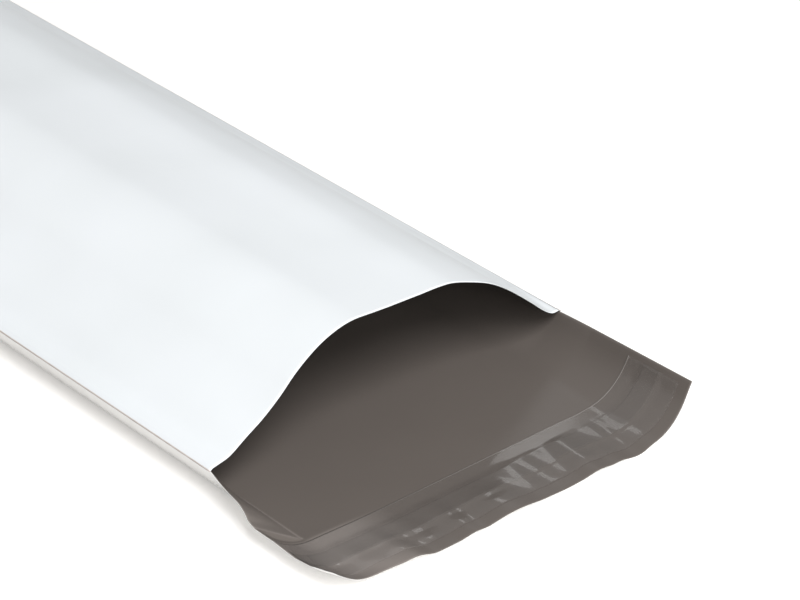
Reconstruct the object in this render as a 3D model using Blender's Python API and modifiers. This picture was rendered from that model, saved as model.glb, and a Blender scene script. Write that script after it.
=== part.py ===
"""Poly mailer bag: one welded film pouch with a closing lip, its adhesive band and the release liner.

Frame: +X runs from the closed end to the lip, +Y runs across the bag, +Z is up. The bag lies on z = 0,
with the origin under the middle of its bounding box. Units are metres.
"""

import math

import bmesh
import bpy
from mathutils import Vector

# Driving dimensions of the flat film.
FLAT_WIDTH = 0.216        # seam to seam, an 8 1/2 inch mailer
POCKET_LENGTH = 0.838     # closed end to mouth, 33 inches
LIP_LENGTH = 0.088        # back panel past the mouth
FILM = 0.000064           # 2.5 mil film
FOLD_GAP = 0.001          # outside height of the flat folded end

# Places along X.
END_X = -(POCKET_LENGTH + LIP_LENGTH) / 2
MOUTH_X = END_X + POCKET_LENGTH
LIP_X = MOUTH_X + LIP_LENGTH
TAPER_LENGTH = 0.190      # the bulge dies out over this length at the closed end
PANEL_WIDTH = FLAT_WIDTH - FOLD_GAP
HALF = PANEL_WIDTH / 2

# The adhesive band and its liner, measured from the mouth.
ADHESIVE_FROM, ADHESIVE_TO = 0.058, 0.069
LINER_FROM, LINER_TO = 0.0475, 0.081
STRIP_HALF_WIDTH = 0.104
ADHESIVE = 0.00015
LINER = 0.00005
CLEARANCE = 0.0003        # left between neighbouring solids
EDGE_SPACING = 0.001      # a strip has no station closer than this to its ends
SLOPE_STEP = 0.0005       # half the span over which the lip's slope is taken

# The front panel across the mouth, near seam to far seam: it drapes over two round contents.
FRONT_PROFILE = [
    (-0.0989, 0.0173), (-0.0880, 0.0195), (-0.0700, 0.0300), (-0.0520, 0.0450), (-0.0370, 0.0545),
    (-0.0200, 0.0590), (0.0000, 0.0575), (0.0280, 0.0570), (0.0450, 0.0525), (0.0600, 0.0448),
    (0.0750, 0.0335), (0.0870, 0.0230), (0.0940, 0.0180), (0.1005, 0.0173),
]

# How each side of the back panel turns up, by distance from the mouth: place, angle, radius, straight end.
NEAR_TURN = [
    (0.000, 0.98, 0.003, 0.0192),
    (0.006, 0.87, 0.003, 0.0202),
    (0.012, 0.80, 0.003, 0.0204),
    (0.020, 0.74, 0.003, 0.0204),
    (0.033, 0.58, 0.003, 0.0204),
    (0.0475, 0.70, 0.026, 0.0060),
    (0.069, 0.68, 0.032, 0.0035),
    (0.088, 0.64, 0.070, 0.0000),
]
FAR_TURN = [
    (0.000, 1.02, 0.028, 0.0040),
    (0.088, 1.05, 0.028, 0.0065),
]

CURVE_SAMPLES = 12        # straight steps between two points of the front profile

# Shares of a panel's width at which each cross section is sampled: closer where the sides turn up.
SHARES = (
    [0.0, 0.035, 0.075, 0.095, 0.12, 0.155]
    + [0.2 + 0.05 * i for i in range(13)]
    + [0.845, 0.88, 0.91, 0.94, 0.97, 1.0]
)
BODY_STATIONS = [0.0, -0.15, -0.35, -0.55, -0.648, -0.675, -0.705, -0.735, -0.765, -0.795, -0.820,
                 FOLD_GAP / 2 - POCKET_LENGTH]
LIP_STATIONS = [LIP_LENGTH, LINER_TO, ADHESIVE_TO, ADHESIVE_FROM, LINER_FROM, 0.033, 0.020, 0.012, 0.006]


def smooth(a):
    """A step from 0 to 1 with level ends."""
    a = min(1.0, max(0.0, a))
    return a * a * (3 - 2 * a)


def along_table(table, place):
    """The table's values at a place, in proportion between its stated rows."""
    if place <= table[0][0]:
        return table[0][1:]
    for low, high in zip(table, table[1:]):
        if place <= high[0]:
            share = (place - low[0]) / (high[0] - low[0])
            return [a + (b - a) * share for a, b in zip(low[1:], high[1:])]
    return table[-1][1:]


def turned(distance, angle, radius, straight):
    """Where the film is at a distance from the middle, on a side that turns up at its edge."""
    start = HALF - straight - radius * angle
    if distance <= start:
        return distance, 0.0
    arc = min(distance - start, radius * angle)
    rest = distance - start - arc
    turn = arc / radius
    y = start + radius * math.sin(turn) + rest * math.cos(turn)
    return y, radius * (1 - math.cos(turn)) + rest * math.sin(turn)


def back_section(place, share):
    """A point of the back panel's outer face, for a full bag."""
    t = (share - 0.5) * PANEL_WIDTH
    if t < 0:
        y, z = turned(-t, *along_table(NEAR_TURN, place))
        return -y, z
    return turned(t, *along_table(FAR_TURN, place))


def catmull(points, samples):
    """A smooth curve through the points."""
    ends = [2 * Vector(points[0]) - Vector(points[1]), 2 * Vector(points[-1]) - Vector(points[-2])]
    p = [ends[0]] + [Vector(q) for q in points] + [ends[1]]
    line = []
    for i in range(1, len(p) - 2):
        for k in range(samples):
            u = k / samples
            line.append(0.5 * (2 * p[i] + (p[i + 1] - p[i - 1]) * u
                               + (2 * p[i - 1] - 5 * p[i] + 4 * p[i + 1] - p[i + 2]) * u * u
                               + (3 * p[i] - p[i - 1] - 3 * p[i + 1] + p[i + 2]) * u * u * u))
    return line + [p[-2]]


def at_shares(line, shares):
    """Points of a curve at shares of its length."""
    lengths = [0.0]
    for a, b in zip(line, line[1:]):
        lengths.append(lengths[-1] + (b - a).length)
    found = []
    for share in shares:
        want = share * lengths[-1]
        i = max(k for k in range(len(line) - 1) if lengths[k] <= want)
        u = (want - lengths[i]) / (lengths[i + 1] - lengths[i])
        found.append(line[i].lerp(line[i + 1], min(1.0, u)))
    return found


FRONT = at_shares(catmull(FRONT_PROFILE, CURVE_SAMPLES), SHARES)


def fullness(place):
    """1 where the bag keeps its full section, 0 at the flat folded end."""
    return smooth((place + POCKET_LENGTH) / TAPER_LENGTH)


def back_point(place, share):
    """A point of the back panel's outer face, flattened toward the closed end."""
    y, z = back_section(place, share)
    full = fullness(place)
    flat_y = (share - 0.5) * PANEL_WIDTH
    return Vector((MOUTH_X + place, flat_y + (y - flat_y) * full, z * full))


def front_point(place, index):
    """A point of the front panel's outer face, flattened toward the closed end."""
    full = fullness(place)
    flat_y = (SHARES[index] - 0.5) * PANEL_WIDTH
    y, z = FRONT[index]
    return Vector((MOUTH_X + place, flat_y + (y - flat_y) * full, FOLD_GAP + z * full))


def material(name, colour, roughness, alpha=1.0):
    m = bpy.data.materials.new(name)
    m.use_nodes = True
    shader = m.node_tree.nodes["Principled BSDF"]
    shader.inputs["Base Color"].default_value = (*colour, 1.0)
    shader.inputs["Roughness"].default_value = roughness
    shader.inputs["Metallic"].default_value = 0.0
    shader.inputs["Alpha"].default_value = alpha
    return m


def shell(name, bm, thickness, inward, surface, collection):
    """An object from an open surface, thickened by Solidify."""
    mesh = bpy.data.meshes.new(name)
    bm.to_mesh(mesh)
    bm.free()
    mesh.materials.append(surface)
    mesh.shade_smooth()
    piece = bpy.data.objects.new(name, mesh)
    collection.objects.link(piece)
    solid = piece.modifiers.new("film thickness", "SOLIDIFY")
    solid.thickness = thickness
    solid.offset = -1.0 if inward else 1.0
    return piece


def film_pouch(collection):
    """Back panel with its lip, front panel, both side seams and the end fold, as one open surface."""
    bm = bmesh.new()
    last = len(SHARES) - 1
    lip = [[bm.verts.new(back_point(place, share)) for share in SHARES] for place in LIP_STATIONS]
    back = [[bm.verts.new(back_point(place, share)) for share in SHARES] for place in BODY_STATIONS]
    front = [[bm.verts.new(front_point(place, i)) for i in range(last + 1)] for place in BODY_STATIONS]
    lower_panel = lip + back
    for upper, lower in zip(lower_panel, lower_panel[1:]):
        for i in range(last):
            bm.faces.new((upper[i], lower[i], lower[i + 1], upper[i + 1]))
    for upper, lower in zip(front, front[1:]):
        for i in range(last):
            bm.faces.new((upper[i], upper[i + 1], lower[i + 1], lower[i]))

    end_bulge = Vector((FOLD_GAP / 2, 0, 0))
    fold = [bm.verts.new((b.co + f.co) / 2 - end_bulge) for b, f in zip(back[-1], front[-1])]
    for i in range(last):
        bm.faces.new((back[-1][i], fold[i], fold[i + 1], back[-1][i + 1]))
        bm.faces.new((front[-1][i], front[-1][i + 1], fold[i + 1], fold[i]))

    for end, side in ((0, -1), (last, 1)):
        side_bulge = Vector((0, side * FOLD_GAP / 2, 0))
        seam = [bm.verts.new((b[end].co + f[end].co) / 2 + side_bulge) for b, f in zip(back, front)]
        for panel in (front, back):
            for k in range(len(BODY_STATIONS) - 1):
                bm.faces.new((panel[k][end], panel[k + 1][end], seam[k + 1], seam[k]))
            bm.faces.new((panel[-1][end], seam[-1], fold[end]))
    bmesh.ops.recalc_face_normals(bm, faces=bm.faces)
    white = material("white coextruded film", (0.85, 0.87, 0.88), 0.35)
    return shell("film_pouch", bm, FILM, True, white, collection)


def lip_strip(name, first, final, height, thickness, surface, collection):
    """A band across the inside of the lip, at a stated height above the lip's outer face."""
    bm = bmesh.new()
    edge = STRIP_HALF_WIDTH / PANEL_WIDTH
    inside = [s for s in SHARES if abs(s - 0.5) < edge - EDGE_SPACING / PANEL_WIDTH]
    shares = [0.5 - edge] + inside + [0.5 + edge]
    rows = []
    step = SLOPE_STEP / PANEL_WIDTH
    for place in [s for s in LIP_STATIONS if first <= s <= final]:
        row = []
        for share in shares:
            run = back_point(place, share + step) - back_point(place, share - step)
            normal = Vector((0, -run.z, run.y)).normalized()
            row.append(bm.verts.new(back_point(place, share) + normal * height))
        rows.append(row)
    for upper, lower in zip(rows, rows[1:]):
        for i in range(len(shares) - 1):
            bm.faces.new((upper[i], upper[i + 1], lower[i + 1], lower[i]))
    bmesh.ops.recalc_face_normals(bm, faces=bm.faces)
    if sum(face.normal.z for face in bm.faces) < 0:
        bmesh.ops.reverse_faces(bm, faces=bm.faces)
    return shell(name, bm, thickness, False, surface, collection)


def build():
    for old in list(bpy.data.objects):
        bpy.data.objects.remove(old, do_unlink=True)
    collection = bpy.data.collections.new("poly_mailer_bag")
    bpy.context.scene.collection.children.link(collection)
    film_pouch(collection)
    glue = material("hot melt adhesive", (0.16, 0.145, 0.135), 0.45)
    clear = material("clear release liner", (0.55, 0.52, 0.50), 0.15, 0.5)
    glue_height = FILM + CLEARANCE
    lip_strip("adhesive_strip", ADHESIVE_FROM, ADHESIVE_TO, glue_height, ADHESIVE, glue, collection)
    liner_height = glue_height + ADHESIVE + CLEARANCE
    lip_strip("release_liner", LINER_FROM, LINER_TO, liner_height, LINER, clear, collection)


build()
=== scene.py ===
"""Looks of the poly mailer bag: film, seam welds, adhesive band and clear liner, on a pale floor."""

import math

import bmesh
import bpy
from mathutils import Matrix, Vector, noise


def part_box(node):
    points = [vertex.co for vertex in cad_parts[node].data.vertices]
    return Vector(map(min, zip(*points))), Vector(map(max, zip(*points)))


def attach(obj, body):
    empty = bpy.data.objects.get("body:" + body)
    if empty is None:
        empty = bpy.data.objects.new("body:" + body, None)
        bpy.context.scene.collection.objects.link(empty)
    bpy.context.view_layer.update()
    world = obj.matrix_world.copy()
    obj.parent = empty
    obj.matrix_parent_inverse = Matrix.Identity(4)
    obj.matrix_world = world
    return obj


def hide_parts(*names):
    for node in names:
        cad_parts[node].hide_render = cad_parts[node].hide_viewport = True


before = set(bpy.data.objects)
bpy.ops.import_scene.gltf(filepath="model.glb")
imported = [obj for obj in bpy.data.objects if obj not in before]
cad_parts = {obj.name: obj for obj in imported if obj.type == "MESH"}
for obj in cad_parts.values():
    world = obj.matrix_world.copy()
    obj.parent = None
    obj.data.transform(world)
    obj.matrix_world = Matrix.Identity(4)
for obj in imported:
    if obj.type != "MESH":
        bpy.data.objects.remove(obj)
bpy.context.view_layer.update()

# Sizes of the bag, all in metres. "Place" is a distance along the bag from its mouth, positive on the lip.
FILM_LOW, FILM_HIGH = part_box("film_pouch")
LIP_LENGTH = 0.088
FILM = 0.000064           # thickness
END_X = FILM_LOW[0]
LIP_X = FILM_HIGH[0]
MOUTH_X = LIP_X - LIP_LENGTH
POCKET_LENGTH = MOUTH_X - END_X
WELD = 0.0008             # how far each side weld stands out past the panels
HALF = FILM_HIGH[1] - WELD
TAPER_LENGTH = 0.190      # the bulge dies out over this length at the closed end
END_GAP = 0.0009          # outside height of the flat closed end
WELD_GAP = 0.00022        # outside height of the two panels along the welds
MM = 0.001

LINER_LOW, LINER_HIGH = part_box("release_liner")
LINER_FROM, LINER_TO = LINER_LOW[0] - MOUTH_X, LINER_HIGH[0] - MOUTH_X
GLUE_LOW, GLUE_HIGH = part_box("adhesive_strip")
GLUE_FROM, GLUE_TO = GLUE_LOW[0] - MOUTH_X, GLUE_HIGH[0] - MOUTH_X
STRIP_HALF_WIDTH = 0.104
GLUE, LINER = 0.00012, 0.00005            # thicknesses
REST_GAP = 0.00010        # left between the film and what lies on it
GLUE_CLIMB = 0.00024      # how much higher the liner lies over the adhesive
CLIMB_LENGTH = 0.003      # the liner climbs over this length on each side of the adhesive
EDGE_WIDTH = 0.0006       # the liner's edge row, lightened as a painted highlight
SLOPE_STEP = 0.0005       # half the span over which the lip's slope is taken

# The front panel across the mouth, near seam to far seam, as it drapes over two round contents.
FRONT_PROFILE = [
    (-0.0985, 0.0172), (-0.0930, 0.0182), (-0.0875, 0.0197), (-0.0790, 0.0250), (-0.0700, 0.0305),
    (-0.0607, 0.0376), (-0.0530, 0.0447), (-0.0450, 0.0506), (-0.0370, 0.0550), (-0.0280, 0.0580),
    (-0.0200, 0.0590), (-0.0110, 0.0583), (0.0000, 0.0573), (0.0150, 0.0566), (0.0280, 0.0565),
    (0.0370, 0.0552), (0.0500, 0.0503), (0.0590, 0.0456), (0.0680, 0.0392), (0.0760, 0.0326),
    (0.0830, 0.0264), (0.0885, 0.0212), (0.0930, 0.0178), (0.0960, 0.0166), (0.1000, 0.0170),
]

# How each side of the back panel turns up: place, angle, radius, straight stretch at the edge.
NEAR_TURN = [
    (-0.006, 1.02, 0.0040, 0.0178),
    (0.000, 0.98, 0.0030, 0.0192),
    (0.006, 0.87, 0.0020, 0.0208),
    (0.0126, 0.80, 0.0016, 0.0212),
    (0.0219, 0.73, 0.0014, 0.0213),
    (0.0298, 0.64, 0.0014, 0.0213),
    (0.0355, 0.55, 0.0014, 0.0213),
    (0.0438, 0.49, 0.0014, 0.0213),
    (0.0452, 0.70, 0.0260, 0.0060),
    (0.056, 0.69, 0.0300, 0.0050),
    (0.069, 0.68, 0.0325, 0.0035),
    (0.079, 0.69, 0.0400, 0.0020),
    (0.088, 0.665, 0.0570, 0.0010),
    (0.0955, 0.64, 0.0745, 0.0000),
]
NEAR_FOLD = 0.0853        # the sharp fold along the near side of the lip
FOLD_SLANT = 0.33         # the fold across it leans toward the mouth as it climbs
CROSS_FOLD = 0.0440       # place of that fold
NEAR_TRIM, FAR_TRIM = 0.0026, 0.0048      # how much shorter the lip is at its corners than in the middle
FAR_TURN = [
    (-0.004, 1.20, 0.0210, 0.0035),
    (0.020, 1.04, 0.0270, 0.0042),
    (0.088, 1.05, 0.0280, 0.0065),
]


# Waves of the lip's loose end: middle across the bag, half width, height in millimetres.
LIP_WAVES = [
    (-0.072, 0.022, 2.0), (-0.060, 0.009, 1.2), (-0.008, 0.019, 1.5), (0.040, 0.009, 0.9),
    (-0.030, 0.008, 0.8), (0.062, 0.010, -1.1), (0.022, 0.012, -0.4),
]

# Slack creases at the closed end: place and position across where each starts and ends, height, half width.
CREASES = [
    (-0.628, -0.018, -0.806, -0.088, 2.6, 0.0100), (-0.632, 0.030, -0.810, 0.084, 2.4, 0.0110),
    (-0.640, -0.050, -0.774, -0.101, 1.6, 0.0070), (-0.648, 0.056, -0.770, 0.100, 1.7, 0.0070),
    (-0.655, 0.004, -0.822, -0.026, 2.0, 0.0090), (-0.662, 0.020, -0.818, 0.040, 1.7, 0.0085),
    (-0.700, -0.040, -0.826, -0.054, 1.2, 0.0060), (-0.712, 0.048, -0.828, 0.062, 1.1, 0.0060),
    (-0.600, -0.062, -0.712, -0.094, 0.9, 0.0060), (-0.590, 0.066, -0.706, 0.092, 0.9, 0.0055),
]

# Ripples of the liner: middle across the bag, half width, height in millimetres.
RIPPLES = [
    (0.044, 0.0085, 0.55), (0.0608, 0.0045, 0.30), (0.0675, 0.0030, 0.18), (0.0735, 0.0034, 0.26),
    (0.0800, 0.0036, 0.20), (0.028, 0.0060, 0.20), (0.012, 0.0080, 0.22), (-0.010, 0.0070, 0.18),
    (-0.030, 0.0080, 0.25), (-0.050, 0.0060, 0.30), (-0.064, 0.0070, 0.35), (-0.078, 0.0055, 0.25),
]


def smooth(a):
    """A step from 0 to 1 with level ends."""
    a = min(1.0, max(0.0, a))
    return a * a * (3 - 2 * a)


def bump(a, middle, half_width):
    """A round hump of height 1."""
    d = abs(a - middle) / half_width
    return 0.0 if d >= 1 else (1 - d * d) ** 2


def along_table(table, place):
    """The table's values at a place, in proportion between its stated rows."""
    if place <= table[0][0]:
        return table[0][1:]
    for low, high in zip(table, table[1:]):
        if place <= high[0]:
            share = (place - low[0]) / (high[0] - low[0])
            return [a + (b - a) * share for a, b in zip(low[1:], high[1:])]
    return table[-1][1:]


def turned(distance, angle, radius, straight):
    """Where the film is at a distance from the middle, on a side that turns up at its edge."""
    start = HALF - straight - radius * angle
    if distance <= start:
        return distance, 0.0
    arc = min(distance - start, radius * angle)
    rest = distance - start - arc
    turn = arc / radius
    y = start + radius * math.sin(turn) + rest * math.cos(turn)
    return y, radius * (1 - math.cos(turn)) + rest * math.sin(turn)


def catmull(points, samples):
    """A smooth curve through the points."""
    ends = [2 * Vector(points[0]) - Vector(points[1]), 2 * Vector(points[-1]) - Vector(points[-2])]
    p = [ends[0]] + [Vector(q) for q in points] + [ends[1]]
    line = []
    for i in range(1, len(p) - 2):
        for k in range(samples):
            u = k / samples
            line.append(0.5 * (2 * p[i] + (p[i + 1] - p[i - 1]) * u
                               + (2 * p[i - 1] - 5 * p[i] + 4 * p[i + 1] - p[i + 2]) * u * u
                               + (3 * p[i] - p[i - 1] - 3 * p[i + 1] + p[i + 2]) * u * u * u))
    return line + [p[-2]]


def at_shares(line, shares):
    """Points of a curve at shares of its length."""
    lengths = [0.0]
    for a, b in zip(line, line[1:]):
        lengths.append(lengths[-1] + (b - a).length)
    found, i = [], 0
    for share in shares:
        want = share * lengths[-1]
        while i < len(line) - 2 and lengths[i + 1] < want:
            i += 1
        u = (want - lengths[i]) / (lengths[i + 1] - lengths[i])
        found.append(line[i].lerp(line[i + 1], min(1.0, max(0.0, u))))
    return found


def graded(breaks):
    """Numbers from the first break to the last, with a stated count of steps in each stretch."""
    out = [breaks[0][0]]
    for (a, _), (b, steps) in zip(breaks, breaks[1:]):
        out += [a + (b - a) * (k + 1) / steps for k in range(steps)]
    return out


# Where the film is sampled: shares of its width from the near seam, and places along it.
FOLD_SHARE = 0.5 - NEAR_FOLD / (2 * HALF)
SHARES = graded([(0.0, 0), (FOLD_SHARE - 0.007, 15), (FOLD_SHARE + 0.007, 10),
                 (0.14, 6), (0.86, 62), (1.0, 24)])
BODY_PLACES = graded([(0.0, 0), (-0.02, 12), (-0.10, 22), (-0.40, 32), (-0.62, 22),
                      (END_GAP / 2 - POCKET_LENGTH, 48)])
LIP_PLACES = graded([(LIP_LENGTH, 0), (0.050, 30), (0.038, 24), (0.0, 42)])[:-1]
FRONT = at_shares(catmull(FRONT_PROFILE, 10), SHARES)


def across(share):
    """Flat distance from the bag's middle line, positive on the far side."""
    return (share - 0.5) * 2 * HALF


def fullness(place):
    """1 where the bag keeps its full section, 0 at the flat closed end."""
    return smooth((place + POCKET_LENGTH) / TAPER_LENGTH)


def drift(x, y, z=0.0):
    """Smooth noise, the same on every run."""
    return noise.noise(Vector((x, y, z)))


def lip_waves(place, t):
    """Heights of the lip's loose end over the floor."""
    rise = smooth((place - 0.052) / 0.034)
    level = 1.1 * smooth((0.098 - abs(t)) / 0.03)
    waves = sum(height * bump(t, middle, half_width) for middle, half_width, height in LIP_WAVES)
    return (level + waves) * rise * MM


def corner_trim(t):
    """How much shorter the lip is cut toward its corners."""
    near = NEAR_TRIM * smooth((-t - 0.045) / 0.045)
    return near + FAR_TRIM * smooth((t - 0.062) / 0.045) - 0.0007 * bump(t, 0.064, 0.011)


def fold_highlight(place, share):
    """How much painted highlight lightens the grey film at the lip's near folds, the facet between them and
    the near corner, 0 to 1.
    """
    t = across(share)
    past = -t - NEAR_FOLD
    leaning = place + FOLD_SLANT * max(0.0, past)
    before_cross = 1 - smooth((leaning - CROSS_FOLD + 0.0015) / 0.0025)
    fold = bump(past, 0.0003, 0.0011) * smooth((place + 0.002) / 0.014) * before_cross
    cross = bump(leaning, CROSS_FOLD, 0.0013) * smooth((past + 0.0012) / 0.0012)
    facet = 0.42 * smooth(past / 0.0015) * smooth((place - 0.004) / 0.026) * before_cross
    corner = 0.85 * smooth((place - 0.045) / 0.003) * smooth((-t - 0.045) / 0.030)
    return min(1.0, 0.85 * max(fold, cross) + facet + corner)


def back_point(place, share):
    """A point of the outer face of the back panel or, past the mouth, of the lip."""
    t = across(share)
    if place > 0:
        place -= corner_trim(t) * place / LIP_LENGTH
    if t < 0:
        leaning = place + FOLD_SLANT * max(0.0, -t - NEAR_FOLD) * smooth((place - 0.022) / 0.018)
        y, z = turned(-t, *along_table(NEAR_TURN, leaning))
        y = -y
    else:
        y, z = turned(t, *along_table(FAR_TURN, place))
    full = fullness(place)
    if place > 0:
        z += lip_waves(place, t)
    return Vector((MOUTH_X + place, t + (y - t) * full, z * full))


def crease_height(place, t):
    """Height of the creases that run from the end of the contents to the closed end's corners."""
    total = 0.0
    for place_a, t_a, place_b, t_b, height, half_width in CREASES:
        run, rise = place_b - place_a, t_b - t_a
        length = math.hypot(run, rise)
        along = ((place - place_a) * run + (t - t_a) * rise) / length ** 2
        wander = 0.002 * drift(along * 3, t_a * 90, 4.4)
        aside = ((place - place_a) * rise - (t - t_a) * run) / length + wander
        total += height * bump(along, 0.45, 0.55) * bump(aside, 0.0, half_width)
    return total * MM


def front_point(place, index):
    """A point of the front panel's outer face, with its swells, pulls and creases."""
    share = SHARES[index]
    full = fullness(place)
    t = across(share)
    y, z = FRONT[index]
    inner = smooth(min(share, 1 - share) / 0.16)
    x = MOUTH_X + place
    swell = 0.9 * drift(x * 9, y * 16, 3.1) + 0.45 * drift(x * 21, y * 34, 7.7)
    pull = 1.6 * (1 - full) * full * 4 * drift(x * 8, t * 55, 1.7)
    z = END_GAP + z * full + (swell * (0.35 + 0.65 * full) * inner + pull * inner) * MM
    z += crease_height(place, t) * smooth(min(share, 1 - share) / 0.05)
    z += 3.0 * MM * bump(y, 0.0905, 0.0095) * smooth(-place / 0.03) * full
    return Vector((x, t + (y - t) * full, max(z, END_GAP)))


# Materials

FOLD_HIGHLIGHT = "fold_highlight"        # the film's vertex attribute that paints highlight onto its grey side


def principled(name, colour, roughness):
    """A new material, its node tree and its shader."""
    m = bpy.data.materials.new(name)
    m.use_nodes = True
    shader = m.node_tree.nodes["Principled BSDF"]
    shader.inputs["Base Color"].default_value = (*colour, 1.0)
    shader.inputs["Roughness"].default_value = roughness
    return m, m.node_tree, shader


def noise_node(tree, scale, detail, stretch=(1, 1, 1)):
    """Noise over the piece's own coordinates, in metres."""
    place = tree.nodes.new("ShaderNodeTexCoord")
    mapping = tree.nodes.new("ShaderNodeMapping")
    mapping.inputs["Scale"].default_value = stretch
    tree.links.new(place.outputs["Object"], mapping.inputs["Vector"])
    n = tree.nodes.new("ShaderNodeTexNoise")
    n.inputs["Scale"].default_value = scale
    n.inputs["Detail"].default_value = detail
    tree.links.new(mapping.outputs["Vector"], n.inputs["Vector"])
    return n


def mixed(tree, factor, low, high):
    """A colour that goes from low to high with the factor."""
    ramp = tree.nodes.new("ShaderNodeMix")
    ramp.data_type = "RGBA"
    ramp.inputs["A"].default_value = (*low, 1.0)
    ramp.inputs["B"].default_value = (*high, 1.0)
    tree.links.new(factor, ramp.inputs["Factor"])
    return ramp.outputs["Result"]


def spread(tree, factor, low, high, first=0.3, last=0.7):
    """A value that goes from low to high while the factor goes from first to last."""
    r = tree.nodes.new("ShaderNodeMapRange")
    r.inputs["From Min"].default_value = first
    r.inputs["From Max"].default_value = last
    r.inputs["To Min"].default_value = low
    r.inputs["To Max"].default_value = high
    tree.links.new(factor, r.inputs["Value"])
    return r.outputs["Result"]


def side_to_side(tree):
    """The position across the bag, in metres, positive on the far side."""
    place = tree.nodes.new("ShaderNodeTexCoord")
    split = tree.nodes.new("ShaderNodeSeparateXYZ")
    tree.links.new(place.outputs["Object"], split.inputs["Vector"])
    return split.outputs["Y"]


def add_bump(tree, shader, heights, distance, strength):
    """Fine relief on the shader's normal."""
    b = tree.nodes.new("ShaderNodeBump")
    b.inputs["Distance"].default_value = distance
    b.inputs["Strength"].default_value = strength
    tree.links.new(heights, b.inputs["Height"])
    tree.links.new(b.outputs["Normal"], shader.inputs["Normal"])


def white_film(name, dark, light):
    """The outside of the film, matte white with a faint tint."""
    m, tree, shader = principled(name, light, 0.52)
    shader.inputs["Specular IOR Level"].default_value = 0.12
    tint = noise_node(tree, 13.0, 2.0)
    colour = mixed(tree, spread(tree, tint.outputs["Fac"], 0.0, 1.0), dark, light)
    tree.links.new(colour, shader.inputs["Base Color"])
    grain = noise_node(tree, 140.0, 4.0, (0.35, 1, 1))
    tree.links.new(spread(tree, grain.outputs["Fac"], 0.47, 0.58), shader.inputs["Roughness"])
    fine = noise_node(tree, 260.0, 5.0, (0.5, 1, 1))
    add_bump(tree, shader, fine.outputs["Fac"], 0.00012, 0.35)
    return m


def grey_film():
    """The inside of the film, lightened by painted highlight at the lip's near folds and near corner."""
    m, tree, shader = principled("grey_inner_film", (0.130, 0.114, 0.104), 0.3)
    tint = noise_node(tree, 14.0, 3.0)
    plain = mixed(tree, tint.outputs["Fac"], (0.115, 0.0998, 0.0892), (0.132, 0.1146, 0.1022))
    # Painted highlight: the stored vertex share lightens the grey toward a pale tone at the lip's near
    # folds, the facet between them and the near corner.
    highlight = tree.nodes.new("ShaderNodeAttribute")
    highlight.attribute_name = FOLD_HIGHLIGHT
    highlighted = mixed(tree, highlight.outputs["Fac"], (0.0, 0.0, 0.0), (0.235, 0.207, 0.190))
    tree.links.new(plain, highlighted.node.inputs["A"])
    tree.links.new(highlighted, shader.inputs["Base Color"])
    tree.links.new(spread(tree, tint.outputs["Fac"], 0.28, 0.34), shader.inputs["Roughness"])
    fine = noise_node(tree, 150.0, 3.0, (0.5, 1, 1))
    add_bump(tree, shader, fine.outputs["Fac"], 0.00010, 0.30)
    return m


def weld_film():
    """The cut and melted rim of each side weld."""
    m, tree, shader = principled("side_weld", (0.60, 0.53, 0.49), 0.4)
    tint = noise_node(tree, 220.0, 3.0, (1, 0.2, 0.2))
    colour = mixed(tree, tint.outputs["Fac"], (0.50, 0.43, 0.39), (0.70, 0.64, 0.61))
    tree.links.new(colour, shader.inputs["Base Color"])
    add_bump(tree, shader, tint.outputs["Fac"], 0.0002, 0.5)
    return m


def adhesive():
    """The mottled band of hot-melt adhesive."""
    m, tree, shader = principled("hot_melt_adhesive", (0.10, 0.09, 0.083), 0.4)
    mottle = noise_node(tree, 90.0, 4.0)
    colour = mixed(tree, mottle.outputs["Fac"], (0.086, 0.077, 0.070), (0.116, 0.104, 0.096))
    tree.links.new(colour, shader.inputs["Base Color"])
    add_bump(tree, shader, mottle.outputs["Fac"], 0.0004, 0.5)
    return m


def liner_edge():
    """The liner's cut edge along the crease, lightened as a painted highlight, most toward the far side."""
    m, tree, shader = principled("liner_edge_painted_highlight", (0.30, 0.275, 0.255), 0.25)
    shader.inputs["Alpha"].default_value = 0.75
    # Painted highlight: the edge row's colour grows lighter toward the far side.
    edge_highlight = spread(tree, side_to_side(tree), 0.0, 1.0, -0.085, 0.045)
    colour = mixed(tree, edge_highlight, (0.155, 0.139, 0.127), (0.40, 0.37, 0.345))
    tree.links.new(colour, shader.inputs["Base Color"])
    nicks = noise_node(tree, 60.0, 3.0)
    tree.links.new(spread(tree, nicks.outputs["Fac"], 0.2, 0.35), shader.inputs["Roughness"])
    add_bump(tree, shader, nicks.outputs["Fac"], 0.0003, 0.4)
    return m


def clear_liner():
    """The clear, glossy film over the adhesive, with a painted reflection lightening its near end."""
    m, tree, shader = principled("clear_liner", (0.23, 0.203, 0.185), 0.12)
    shader.inputs["Alpha"].default_value = 0.3
    shader.inputs["Coat Weight"].default_value = 1.0
    shader.inputs["Coat Roughness"].default_value = 0.05
    shader.inputs["IOR"].default_value = 1.6
    # Painted reflection: the liner's colour lightens toward its near end.
    near_end_reflection = spread(tree, side_to_side(tree), 1.0, 0.0, -0.064, -0.044)
    colour = mixed(tree, near_end_reflection, (0.23, 0.203, 0.185), (0.36, 0.325, 0.302))
    tree.links.new(colour, shader.inputs["Base Color"])
    crinkle = noise_node(tree, 55.0, 3.0, (1, 0.45, 1))
    tree.links.new(spread(tree, crinkle.outputs["Fac"], 0.08, 0.18), shader.inputs["Roughness"])
    add_bump(tree, shader, crinkle.outputs["Fac"], 0.0006, 0.35)
    return m


WHITE = white_film("white_front_film", (0.738, 0.765, 0.778), (0.772, 0.798, 0.816))
# The back panel's outside is the same white film; this warmer, brighter copy paints the floor's bounce
# light into its shaded strip along the near seam.
WHITE_BACK_BOUNCE = white_film("white_back_film_painted_bounce", (0.79, 0.785, 0.77), (0.83, 0.825, 0.81))
GREY, SEAM = grey_film(), weld_film()

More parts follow.
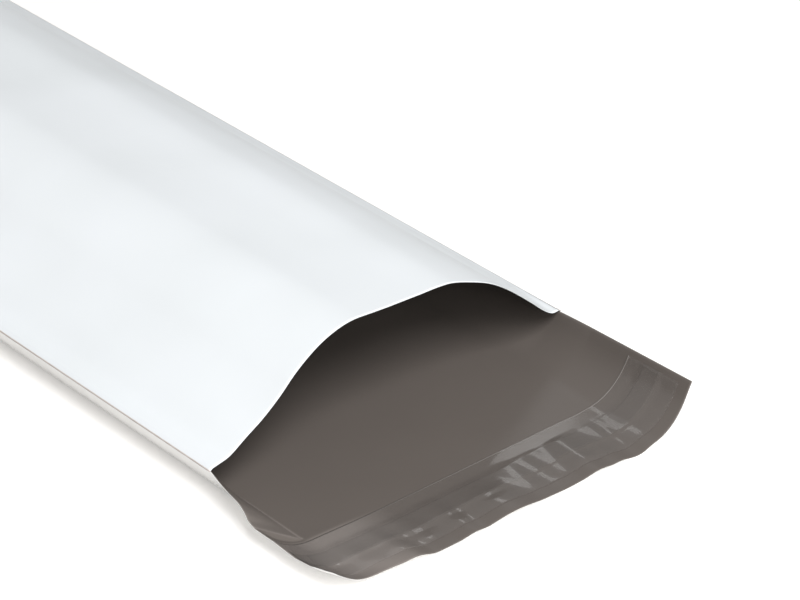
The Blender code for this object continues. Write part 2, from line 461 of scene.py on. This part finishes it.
# The film's outer faces use the even slots. Solidify gives each inner face the slot after its outer one.
FILM_SLOTS = [WHITE, GREY, SEAM, GREY, WHITE_BACK_BOUNCE, GREY]
SEAM_SLOT, BACK_SLOT = 2, 4


# Pieces

def linked(name, mesh, materials):
    """An object for the mesh, riding the bag's only body."""
    piece = bpy.data.objects.new(name, mesh)
    bpy.context.scene.collection.objects.link(piece)
    for m in materials:
        mesh.materials.append(m)
    mesh.shade_smooth()
    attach(piece, "root")
    return piece


def strip_of_faces(bm, rows, facing_up):
    """Four-sided faces between neighbouring rows of vertices."""
    faces = []
    for upper, lower in zip(rows, rows[1:]):
        for i in range(len(upper) - 1):
            corners = (upper[i], upper[i + 1], lower[i + 1], lower[i])
            faces.append(bm.faces.new(corners if facing_up else corners[::-1]))
    return faces


def side_rims(bm, back, front):
    """The two welds: on each side, one row of vertices past the panels and the faces that reach it."""
    last = len(SHARES) - 1
    rims = []
    for end, side in ((0, -1), (last, 1)):
        past = Vector((0, side * WELD, 0))
        rims.append([bm.verts.new((b[end].co + f[end].co) / 2 + past) for b, f in zip(back, front)])
    for end, rim in zip((0, last), rims):
        for k in range(len(BODY_PLACES) - 1):
            for panel in (front, back):
                face = bm.faces.new((panel[k][end], panel[k + 1][end], rim[k + 1], rim[k]))
                face.material_index = SEAM_SLOT
    return rims


def end_fold(bm, back, front, rims):
    """The fold that closes the far end of the pocket."""
    bulge = Vector((END_GAP / 2, 0, 0))
    fold = [bm.verts.new((b.co + f.co) / 2 - bulge) for b, f in zip(back, front)]
    strip_of_faces(bm, [front, fold], True)
    strip_of_faces(bm, [fold, back], True)
    for end, rim in zip((0, -1), rims):
        bm.faces.new((back[end], rim[-1], fold[end]))
        bm.faces.new((front[end], rim[-1], fold[end]))


def film():
    """The whole pouch: an open surface of back panel, lip and front panel with welded sides, made solid."""
    bm = bmesh.new()
    highlight = bm.verts.layers.float.new(FOLD_HIGHLIGHT)
    lip = [[bm.verts.new(back_point(p, s)) for s in SHARES] for p in LIP_PLACES]
    back = [[bm.verts.new(back_point(p, s)) for s in SHARES] for p in BODY_PLACES]
    front = [[bm.verts.new(front_point(p, i)) for i in range(len(SHARES))] for p in BODY_PLACES]
    for place, upper, lower in zip(BODY_PLACES, front, back):
        gap = WELD_GAP + (END_GAP - WELD_GAP) * (1 - fullness(place))
        for end in (0, -1):
            upper[end].co = lower[end].co + Vector((0, 0, gap))
    for face in strip_of_faces(bm, lip + back, False):
        face.material_index = BACK_SLOT
    strip_of_faces(bm, front, True)
    rims = side_rims(bm, back, front)
    end_fold(bm, back[-1], front[-1], rims)
    # Store each vertex's share of painted highlight for the grey side.
    for place, row in zip(LIP_PLACES + BODY_PLACES, lip + back):
        for share, vert in zip(SHARES, row):
            vert[highlight] = fold_highlight(place, share)
    bmesh.ops.recalc_face_normals(bm, faces=bm.faces)
    mesh = bpy.data.meshes.new("mailer_film")
    bm.to_mesh(mesh)
    bm.free()
    piece = linked("mailer_film", mesh, FILM_SLOTS)
    solid = piece.modifiers.new("film thickness", "SOLIDIFY")
    solid.thickness = FILM
    solid.offset = -1.0
    solid.material_offset = 1
    solid.material_offset_rim = 0
    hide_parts("film_pouch")


def strip(name, first, final, steps, height, thickness, surfaces, ripple):
    """A band along the lip that follows the film at a height above its outer face.

    Its first EDGE_WIDTH takes the last of the surfaces, and the rest takes the first.
    """
    bm = bmesh.new()
    edge = STRIP_HALF_WIDTH / (2 * HALF)
    turn = 0.11
    shares = graded([(0.5 - edge, 0), (0.5 - edge + turn, 20), (0.5 + edge - turn, 70), (0.5 + edge, 20)])
    small = SLOPE_STEP / (2 * HALF)
    rows = []
    for place in graded([(first, 0), (first + EDGE_WIDTH, 1), (final, steps)]):
        row = []
        for share in shares:
            run = back_point(place, share + small) - back_point(place, share - small)
            normal = Vector((0, -run.z, run.y)).normalized()
            lift = height(place) + ripple(place, across(share))
            row.append(bm.verts.new(back_point(place, share) + normal * lift))
        rows.append(row)
    for face in strip_of_faces(bm, rows[:2], True):
        face.material_index = len(surfaces) - 1
    strip_of_faces(bm, rows[1:], True)
    bmesh.ops.recalc_face_normals(bm, faces=bm.faces)
    if sum(face.normal.z for face in bm.faces) < 0:
        bmesh.ops.reverse_faces(bm, faces=bm.faces)
    mesh = bpy.data.meshes.new(name)
    bm.to_mesh(mesh)
    bm.free()
    piece = linked(name, mesh, surfaces)
    solid = piece.modifiers.new("thickness", "SOLIDIFY")
    solid.thickness = thickness
    solid.offset = 1.0
    return piece


def glue_height(place):
    """The adhesive lies flat on the film."""
    return FILM + REST_GAP


def liner_height(place):
    """The liner lies on the film and climbs over the adhesive."""
    up = smooth((place - GLUE_FROM + CLIMB_LENGTH) / CLIMB_LENGTH)
    down = smooth((GLUE_TO + CLIMB_LENGTH - place) / CLIMB_LENGTH)
    return FILM + REST_GAP + GLUE_CLIMB * up * down


def no_ripple(place, t):
    """The adhesive has no ripples."""
    return 0.0


def liner_ripple(place, t):
    """The liner stands off the lip in shallow ripples that run along the bag."""
    inner = smooth((place - GLUE_FROM + 0.004) / 0.006) * smooth((LINER_TO - place) / 0.004)
    inner *= smooth((STRIP_HALF_WIDTH - abs(t)) / 0.006)
    aside = t + 0.0012 * drift(place * 45, t * 20, 9.0)
    waves = sum(height * bump(aside, middle, half_width) for middle, half_width, height in RIPPLES)
    return (waves + 0.12 * max(0.0, drift(place * 60, t * 40, 5.0))) * inner * MM


def strips():
    """The adhesive band and the liner over it."""
    glue = strip("glue_band", GLUE_FROM, GLUE_TO, 8, glue_height, GLUE, [adhesive()], no_ripple)
    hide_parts("adhesive_strip")
    clear = [clear_liner(), liner_edge()]
    liner = strip("peel_liner", LINER_FROM, LINER_TO, 30, liner_height, LINER, clear, liner_ripple)
    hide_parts("release_liner")


# Stage: floor, soft light and camera

VIEW_AZIMUTH, VIEW_ELEVATION, VIEW_DISTANCE, LENS = 49.0, 30.6, 1.608, 158.7
AIM = Vector((MOUTH_X - 0.0756, 0.0710, 0.0))
GLINT = Vector((MOUTH_X + 0.068, 0.058, 0.0))     # where flat liner mirrors the card toward the camera
CARD_DISTANCE = 1.6
CARD_ROLL = 24.0          # turns the long card so that its reflections run along the bag


def from_direction(azimuth, elevation):
    """The direction toward a viewer at these angles, in degrees."""
    a, e = math.radians(azimuth), math.radians(elevation)
    return Vector((math.sin(a) * math.cos(e), -math.cos(a) * math.cos(e), math.sin(e)))


TO_CAMERA = from_direction(VIEW_AZIMUTH, VIEW_ELEVATION)


def floor():
    """A pale floor just under the bag."""
    bpy.ops.mesh.primitive_plane_add(size=12)
    plane = bpy.context.object
    plane.name = "floor"
    plane.location = (0, 0, -0.0002)
    m, _, shader = principled("pale_floor", (0.88, 0.865, 0.845), 0.85)
    shader.inputs["Specular IOR Level"].default_value = 0.1
    shader.inputs["Emission Color"].default_value = (1.0, 1.0, 1.0, 1.0)
    shader.inputs["Emission Strength"].default_value = 0.19
    plane.data.materials.append(m)


def surroundings():
    """Even, faint light from all round."""
    world = bpy.data.worlds.new("studio")
    world.use_nodes = True
    background = world.node_tree.nodes["Background"]
    background.inputs["Strength"].default_value = 0.24
    background.inputs["Color"].default_value = (1.0, 0.995, 0.985, 1.0)
    bpy.context.scene.world = world


def softbox(name, place, aim, size, watts):
    """An area light that faces its aim."""
    data = bpy.data.lights.new(name, "AREA")
    data.shape = "RECTANGLE"
    data.size, data.size_y = size
    data.energy = watts
    lamp = bpy.data.objects.new(name, data)
    lamp.location = place
    lamp.rotation_euler = (aim - Vector(place)).to_track_quat("-Z", "Y").to_euler()
    bpy.context.scene.collection.objects.link(lamp)
    return lamp


def lights():
    """A high key, a low fill that reaches into the mouth, and the card that the liner's ripples mirror."""
    middle = Vector((MOUTH_X, 0, 0))
    key = softbox("key", middle + Vector((1.7, -0.65, 2.6)), middle, (1.5, 1.5), 101)
    key.data.color = (0.985, 0.99, 1.0)
    key.visible_glossy = False
    softbox("fill", middle + Vector((1.9, -0.3, 0.8)), middle, (1.4, 0.8), 22)
    mirrored = Vector((-TO_CAMERA.x, -TO_CAMERA.y, TO_CAMERA.z))
    card = softbox("back card", GLINT + mirrored * CARD_DISTANCE, GLINT, (0.09, 0.40), 0.15)
    card.rotation_euler.rotate_axis("Z", math.radians(CARD_ROLL))


def camera():
    """The photo's view."""
    eye = bpy.data.objects.new("camera", bpy.data.cameras.new("camera"))
    eye.data.lens = LENS
    eye.data.sensor_width = 36.0
    eye.data.clip_end = 50
    eye.location = AIM + TO_CAMERA * VIEW_DISTANCE
    eye.rotation_euler = (-TO_CAMERA).to_track_quat("-Z", "Y").to_euler()
    bpy.context.scene.collection.objects.link(eye)
    bpy.context.scene.camera = eye
    bpy.context.scene.view_settings.view_transform = "Standard"


film()
strips()
floor()
surroundings()
lights()
camera()
